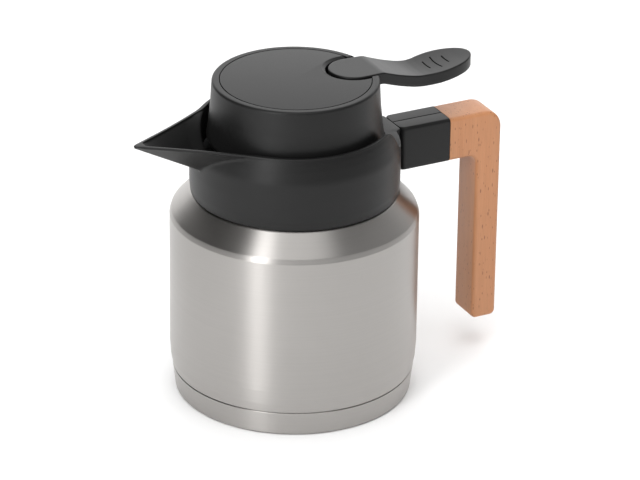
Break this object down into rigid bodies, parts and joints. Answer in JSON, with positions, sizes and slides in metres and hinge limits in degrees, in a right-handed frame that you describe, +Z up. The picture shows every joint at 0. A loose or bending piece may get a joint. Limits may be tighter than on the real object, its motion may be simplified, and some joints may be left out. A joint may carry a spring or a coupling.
{
  "type": "coffee pot",
  "caption": "Insulated steel coffee pot with a black spout collar, a screw lid with a thumb lever that opens a pouring valve, and an L-shaped wooden grip.",
  "frame": {"origin": "centre of the base, on the pot's upright axis, on the surface it stands on", "axes": "+Z up, +X towards the handle, -X towards the spout, Y across"},
  "size_m": [0.208, 0.13, 0.1737],
  "materials": {
    "brushed_steel": "stainless steel sheet, brushed round the pot, satin",
    "liner_steel": "stainless steel, plain rolled",
    "black_plastic": "moulded black polypropylene with a fine satin grain",
    "lever_plastic": "moulded black polypropylene, smooth satin",
    "beech": "sanded and oiled beech",
    "silicone": "matt grey silicone",
    "screw_steel": "bright stainless steel",
    "brass": "turned brass",
    "natural_plastic": "natural acetal"
  },
  "bodies": {
    "pot": {"outer_shell": "brushed_steel", "base_cup": "brushed_steel", "inner_flask": "liner_steel", "outer_bottom": "liner_steel", "vacuum_seal": "screw_steel", "getter": "screw_steel", "spout_collar": "black_plastic", "neck_seal": "silicone", "collar_lock_ring": "natural_plastic", "arm_half_right": "black_plastic", "arm_half_left": "black_plastic", "arm_screw_lower": "screw_steel", "arm_screw_upper": "screw_steel", "wooden_grip": "beech", "grip_bolt": "screw_steel", "grip_insert": "brass", "grip_dowel_lower": "screw_steel", "grip_dowel_upper": "screw_steel"},
    "gasket": {"lid_gasket": "silicone"},
    "lid": {"lid_shell": "black_plastic", "lid_top_panel": "black_plastic", "stopper_body": "black_plastic", "lid_screw_1": "screw_steel", "lid_screw_2": "screw_steel", "lid_screw_3": "screw_steel", "lever_pin": "screw_steel", "stem_guide": "natural_plastic"},
    "valve": {"valve_stem": "natural_plastic", "valve_disc": "natural_plastic", "valve_seal": "silicone", "stem_head": "natural_plastic", "valve_spring": "screw_steel"},
    "lever": {"pour_lever": "lever_plastic"}
  },
  "joints": [
    {"name": "lid_rise", "type": "slide", "parent": "pot", "child": "gasket", "axis": [0, 0, 1], "range_m": [0, 0.06]},
    {"name": "lid_turn", "type": "hinge", "parent": "gasket", "child": "lid", "pos_m": [0, 0, 0.1192], "axis": [0, 0, 1], "range_deg": [0, 1080]},
    {"name": "lever_press", "type": "hinge", "parent": "lid", "child": "lever", "pos_m": [0.033, 0, 0.163], "axis": [0, 1, 0], "range_deg": [0, 9], "stiffness_Nm_per_rad": 1.4146, "springref_deg": -5.39},
    {"name": "valve_lift", "type": "slide", "parent": "lid", "child": "valve", "axis": [0, 0, 1], "range_m": [0, 0.00518], "deforming": ["valve_spring"]}
  ],
  "couplings": [
    {"joint": "lid_turn", "follows": "lid_rise", "rad_per_m": 314.16},
    {"joint": "lever_press", "follows": "valve_lift", "rad_per_m": 30.303}
  ]
}
